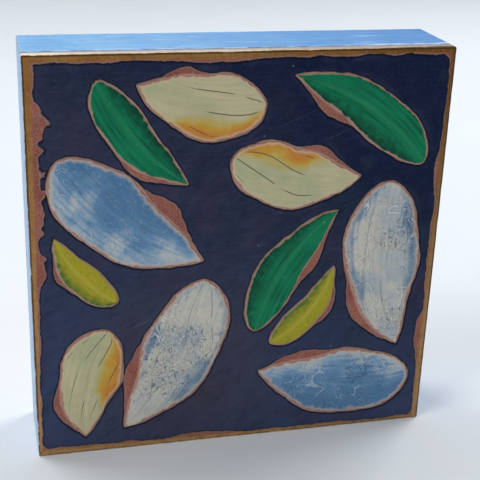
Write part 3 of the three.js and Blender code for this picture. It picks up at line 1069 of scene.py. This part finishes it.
def incised(node, place, along, across, edge, slant):
    """How much the thin lines scored with a stylus show. They lie at every other spacing across
    the leaf, slant away from the midrib, bend slowly, have long gaps in them, and stop short of
    the edge and the tip."""
    half = node("Attribute", {}, "Fac", attribute_name="half")
    flow = node("Attribute", {}, "Vector", attribute_name="flow")
    gaps = drawn_out(node, flow, (0.05, 1, 1), 4, 0)
    bend = node("TexNoise", {"Vector": place, "Scale": per(38), "Detail": 0})
    bend = node("MapRange", {0: bend, 1: 0.2, 2: 0.8, 3: -0.3, 4: 0.3})
    bent = node("Math", {0: along, 1: slant}, **TIMES)
    bent = node("Math", {0: bent, 1: across})
    bent = node("Math", {0: bent, 1: bend})
    beside = node("Math", {0: bent, 1: LINE_SPACING}, **TO_AND_FRO)
    beside = node("Math", {0: beside, 1: half}, **TIMES)
    line = node("MapRange", {0: beside, 1: 0.28, 2: 0.1})
    for pattern, begins, full in ((gaps, 0.46, 0.5), (edge, 1.2, 3.0), (along, 0.88, 0.7)):
        kept = node("MapRange", {0: pattern, 1: begins, 2: full})
        line = node("Math", {0: line, 1: kept}, **TIMES)
    return line


def thick_paste(name, light, cool, glaze, deep, pit, ridge_highlight, share, folded):
    """Modelling paste under thin glazes. Its ridges are light, partly bare of glaze and partly a
    painted highlight on their tops, with a painted shade beside them; the glaze pools in its
    hollows and pits, fine lines are drawn along it, and it thins to a peach rim and a reddish edge
    where the ground shows through. share is about how much of a leaf the glaze covers: one side of
    it, or both margins where it is folded."""
    material, node, place, strokes, along, across, edge = leaf_started(name, 0.08, 1.8)
    tooled = node("Attribute", {}, "Fac", attribute_name="tooled")
    clouds = node("TexNoise", {"Vector": place, "Scale": per(16), "Detail": 4, "Distortion": 0.4})
    fine = node("TexNoise", {"Vector": place, "Scale": per(1.2), "Detail": 4, "Roughness": 0.6})
    mottle = node("TexNoise", {"Vector": place, "Scale": per(3), "Detail": 4})

    # Where the glaze lies: on one side, or outward on both, in clouds and strokes, not at the tip.
    outward = node("Math", {0: across}, **POSITIVE)
    outward = node("MapRange", {0: outward, 1: 0.2, 2: 0.9, 3: -1.0, 4: 1.0})
    sided = node("Mix", {0: folded, 2: across, 3: outward})
    sided = node("MapRange", {0: sided, 1: -1, 2: 1, 3: -0.35, 4: 0.35})
    sided = node("Math", {0: sided, 1: clouds})
    streaked = node("MapRange", {0: strokes, 3: -0.3, 4: 0.3})
    sided = node("Math", {0: sided, 1: streaked})
    tip = node("MapRange", {0: along, 1: 0.65, 2: 0.95, 4: 0.3})
    sided = node("Math", {0: sided, 1: tip}, **MINUS)
    # How near each point lies to a ridge's foot, where a painted shade goes.
    beside = node("Math", {0: tooled, 1: 0.07}, **MINUS)
    beside = node("Math", {0: beside}, **POSITIVE)
    line = incised(node, place, along, across, edge, 0.0)
    rim = wandering(node, edge, mottle, 0.8)
    colour = laid(
        node,
        light,
        (clouds, 0.38, 0.62, 1, cool),
        (sided, 1.0 - share, 1.25 - share, 0.9, glaze),
        (sided, 1.22 - share, 1.5 - share, 0.75, deep),
        (strokes, 0.5, 0.7, 0.3, glaze),
        (tooled, -0.1, -0.3, 0.65, pit),
        # painted shade beside the ridges
        (beside, 0.05, 0.01, 0.45, deep),
        (fine, 0.42, 0.3, 0.35, deep),
        (fine, 0.58, 0.7, 0.35, light),
        (line, 0, 1, 0.5, "#45525f"),
        # painted highlight on the ridges' tops, where they are also bare of glaze
        (tooled, 0.14, 0.36, 0.7, ridge_highlight),
        (rim, 2.6, 0.6, 0.8, "#d8c2ae"),
        (rim, 0.8, 0.3, 0.75, "#a9705f"),
    )
    surfaced(node, colour, (fine, 0.3, 0.7, 0.5, 0.34), fine, 0.16, 0.45)
    return material


def cream_paint():
    """Satin cream acrylic, greener in the shade of each leaf. An orange to yellow glaze runs
    down one side, thin dark lines are incised along it, and it is rimmed with peach."""
    material, node, place, strokes, along, across, edge = leaf_started(
        "satin_cream_acrylic", 0.07, 1.4
    )
    clouds, fine, mottle = (
        node("TexNoise", {"Vector": place, "Scale": per(size), "Detail": detail})
        for size, detail in ((15, 4), (0.8, 3), (3.5, 4))
    )

    sided = wandering(node, across, clouds, 0.25)
    tip = node("MapRange", {0: along, 1: 0.55, 2: 0.85, 4: 0.8})
    sided = node("Math", {0: sided, 1: tip}, **MINUS)
    line = incised(node, place, along, across, edge, 0.9)
    rim = wandering(node, edge, mottle, 0.6)
    colour = laid(
        node,
        "#d3c89e",
        (clouds, 0.4, 0.62, 1, "#bdbe94"),
        (strokes, 0.45, 0.7, 0.35, "#adab80"),
        (sided, 0.22, 0.62, 0.95, "#d3ac1e"),
        (sided, 0.5, 0.85, 0.95, "#d5852a"),
        (line, 0, 1, 1, "#55503c"),
        (rim, 2.0, 0.6, 0.85, "#ddc0a0"),
        (rim, 0.7, 0.25, 0.75, "#a86c5a"),
    )
    height = node("Math", {0: fine, 1: line}, **MINUS)
    surfaced(node, colour, (fine, 0.3, 0.7, 0.5, 0.38), height, 0.09, 0.45)
    return material


def leaf_paint(name, base, light, dark, side, vein, factor, width):
    """Satin acrylic on a green leaf: light and dark strokes along it, a darker colour blended in
    down one side, the midrib scored to a lighter line and a thin pale line of undercoat round
    the edge."""
    material, node, place, strokes, _, across, edge = leaf_started(name, factor, width)
    clouds, fine, mottle = (
        node("TexNoise", {"Vector": place, "Scale": per(size), "Detail": detail})
        for size, detail in ((14, 4), (0.8, 3), (2.6, 4))
    )

    sided = wandering(node, across, mottle, 0.2)
    midrib = node("Math", {0: across}, **POSITIVE)
    rim = wandering(node, edge, mottle, 0.35)
    colour = laid(
        node,
        base,
        (clouds, 0.35, 0.65, 0.5, light),
        (strokes, 0.52, 0.7, 0.7, light),
        (strokes, 0.46, 0.32, 0.75, dark),
        (sided, 0.3, 0.95, 0.85, side),
        (midrib, 0.22, 0.04, 0.5, vein),
        (fine, 0.7, 0.76, 0.6, "#cfd3b8"),
        (rim, 0.5, 0.2, 0.7, "#c3a98c"),
    )
    height = node("Math", {0: fine, 1: strokes})
    surfaced(node, colour, (strokes, 0.3, 0.7, 0.48, 0.34), height, 0.06, 0.14)
    return material


def floor_finish():
    """Plain matte white laminate."""
    material, node, place = started("plain_white_table")
    cloud = node("TexNoise", {"Vector": place, "Scale": per(90), "Detail": 3})
    colour = laid(node, "#e3e6ea", (cloud, 0, 1, 1, "#e9ecef"))
    surfaced(node, colour, (cloud, 0, 1, 0.6, 0.7), cloud, 0.01, 0.3)
    return material


# ---------------------------------------------------------------- camera, floor and light

CAMERA_PLACE = (-120.0, -483.6, 304.8)
CAMERA_YAW, CAMERA_PITCH, CAMERA_ROLL = 14.4, -22.1, 1.98
CAMERA_LENS = 79.84


def make_camera():
    """The photograph's view, fitted to the panel's seven visible corners."""
    yaw, pitch, roll = (math.radians(a) for a in (CAMERA_YAW, CAMERA_PITCH, CAMERA_ROLL))
    flat = math.cos(pitch)
    ahead = Vector((math.sin(yaw) * flat, math.cos(yaw) * flat, math.sin(pitch)))
    level = Vector((math.cos(yaw), -math.sin(yaw), 0))
    above = level.cross(ahead)
    right = math.cos(roll) * level + math.sin(roll) * above
    up = math.cos(roll) * above - math.sin(roll) * level
    camera = bpy.data.objects.new("camera", bpy.data.cameras.new("camera"))
    camera.data.lens = CAMERA_LENS
    camera.data.clip_start = 0.01
    place = Matrix.Translation(Vector(CAMERA_PLACE) * MM)
    camera.matrix_world = place @ Matrix((right, up, -ahead)).transposed().to_4x4()
    bpy.context.scene.collection.objects.link(camera)
    bpy.context.scene.camera = camera


def make_floor():
    mesh = bpy.data.meshes.new("floor")
    reach = 4.0
    corners = [(-reach, -reach, 0), (reach, -reach, 0), (reach, reach, 0), (-reach, reach, 0)]
    mesh.from_pydata(corners, [], [(0, 1, 2, 3)])
    mesh.materials.append(floor_finish())
    floor = bpy.data.objects.new("floor", mesh)
    bpy.context.scene.collection.objects.link(floor)


def make_lamp(name, place, size, power, colour):
    """A square soft light, aimed at the middle of the panel. Its place is in metres."""
    lamp = bpy.data.objects.new(name, bpy.data.lights.new(name, "AREA"))
    lamp.data.shape = "SQUARE"
    lamp.data.size = size
    lamp.data.energy = power
    lamp.data.color = linear(colour)[:3]
    lamp.location = place
    aim = Vector((0, 0, MIDDLE_Z * MM)) - Vector(place)
    lamp.rotation_euler = aim.to_track_quat("-Z", "Y").to_euler()
    bpy.context.scene.collection.objects.link(lamp)


# Soft lights as place, size and power, in metres and watts, with their colour.
LAMPS = {
    "window_left": ((-0.9, 0.8, 1.4), 1.0, 15, "#f6fbff"),
    "window_right": ((1.2, 0.7, 1.2), 1.0, 18, "#f6faff"),
    "room_left": ((-1.1, -0.6, 1.5), 0.7, 12, "#fbfcff"),
}
SKY_STRENGTH = 0.32


def make_light():
    """Soft daylight from above and behind, stronger on the left, as in the photograph, with the
    room's own pale light on the front."""
    for name, lamp in LAMPS.items():
        make_lamp(name, *lamp)
    world = bpy.data.worlds.new("room")
    world.use_nodes = True
    world.node_tree.nodes["Background"].inputs[0].default_value = linear("#eef1f4")
    world.node_tree.nodes["Background"].inputs[1].default_value = SKY_STRENGTH
    bpy.context.scene.world = world
    bpy.context.scene.view_settings.view_transform = "Standard"


# ---------------------------------------------------------------- the panel


def main():
    make_camera()
    make_floor()
    make_light()
    rail_finish = blue_acrylic_on_pine()
    board_piece(birch_plywood())
    for quarter, side in enumerate(SIDES):
        rail_piece("rail_" + side, 90 * quarter, rail_finish)
    ground_piece(sienna_ground_coat())
    field_piece(navy_field_coat())
    finishes = {
        "pale": thick_paste(
            "grey_white_modelling_paste",
            "#d8d3c4", "#b9c0c4", "#7693ae", "#4f6d88", "#3a545f", "#efefea", 0.44, 1.0,
        ),
        "sky": thick_paste(
            "sky_blue_glazed_paste",
            "#c3cccc", "#8cb0cb", "#6493bd", "#3f749f", "#2e4c6a", "#b5cbdd", 0.82, 0.0,
        ),
        "cream": cream_paint(),
        "green": leaf_paint(
            "emerald_green_acrylic",
            "#00704d", "#109060", "#004032", "#00382b", "#2a8e5e", 0.05, 1.6,
        ),
        "lime": leaf_paint(
            "chartreuse_green_acrylic",
            "#aaa62e", "#c4ae24", "#8f9830", "#3a6a30", "#c9bb52", 0.5, 1.0,
        ),
    }
    for seed, (name, leaf) in enumerate(LEAVES.items()):
        leaf_piece(name, 101 + 17 * seed, finishes[leaf.coat])


main()
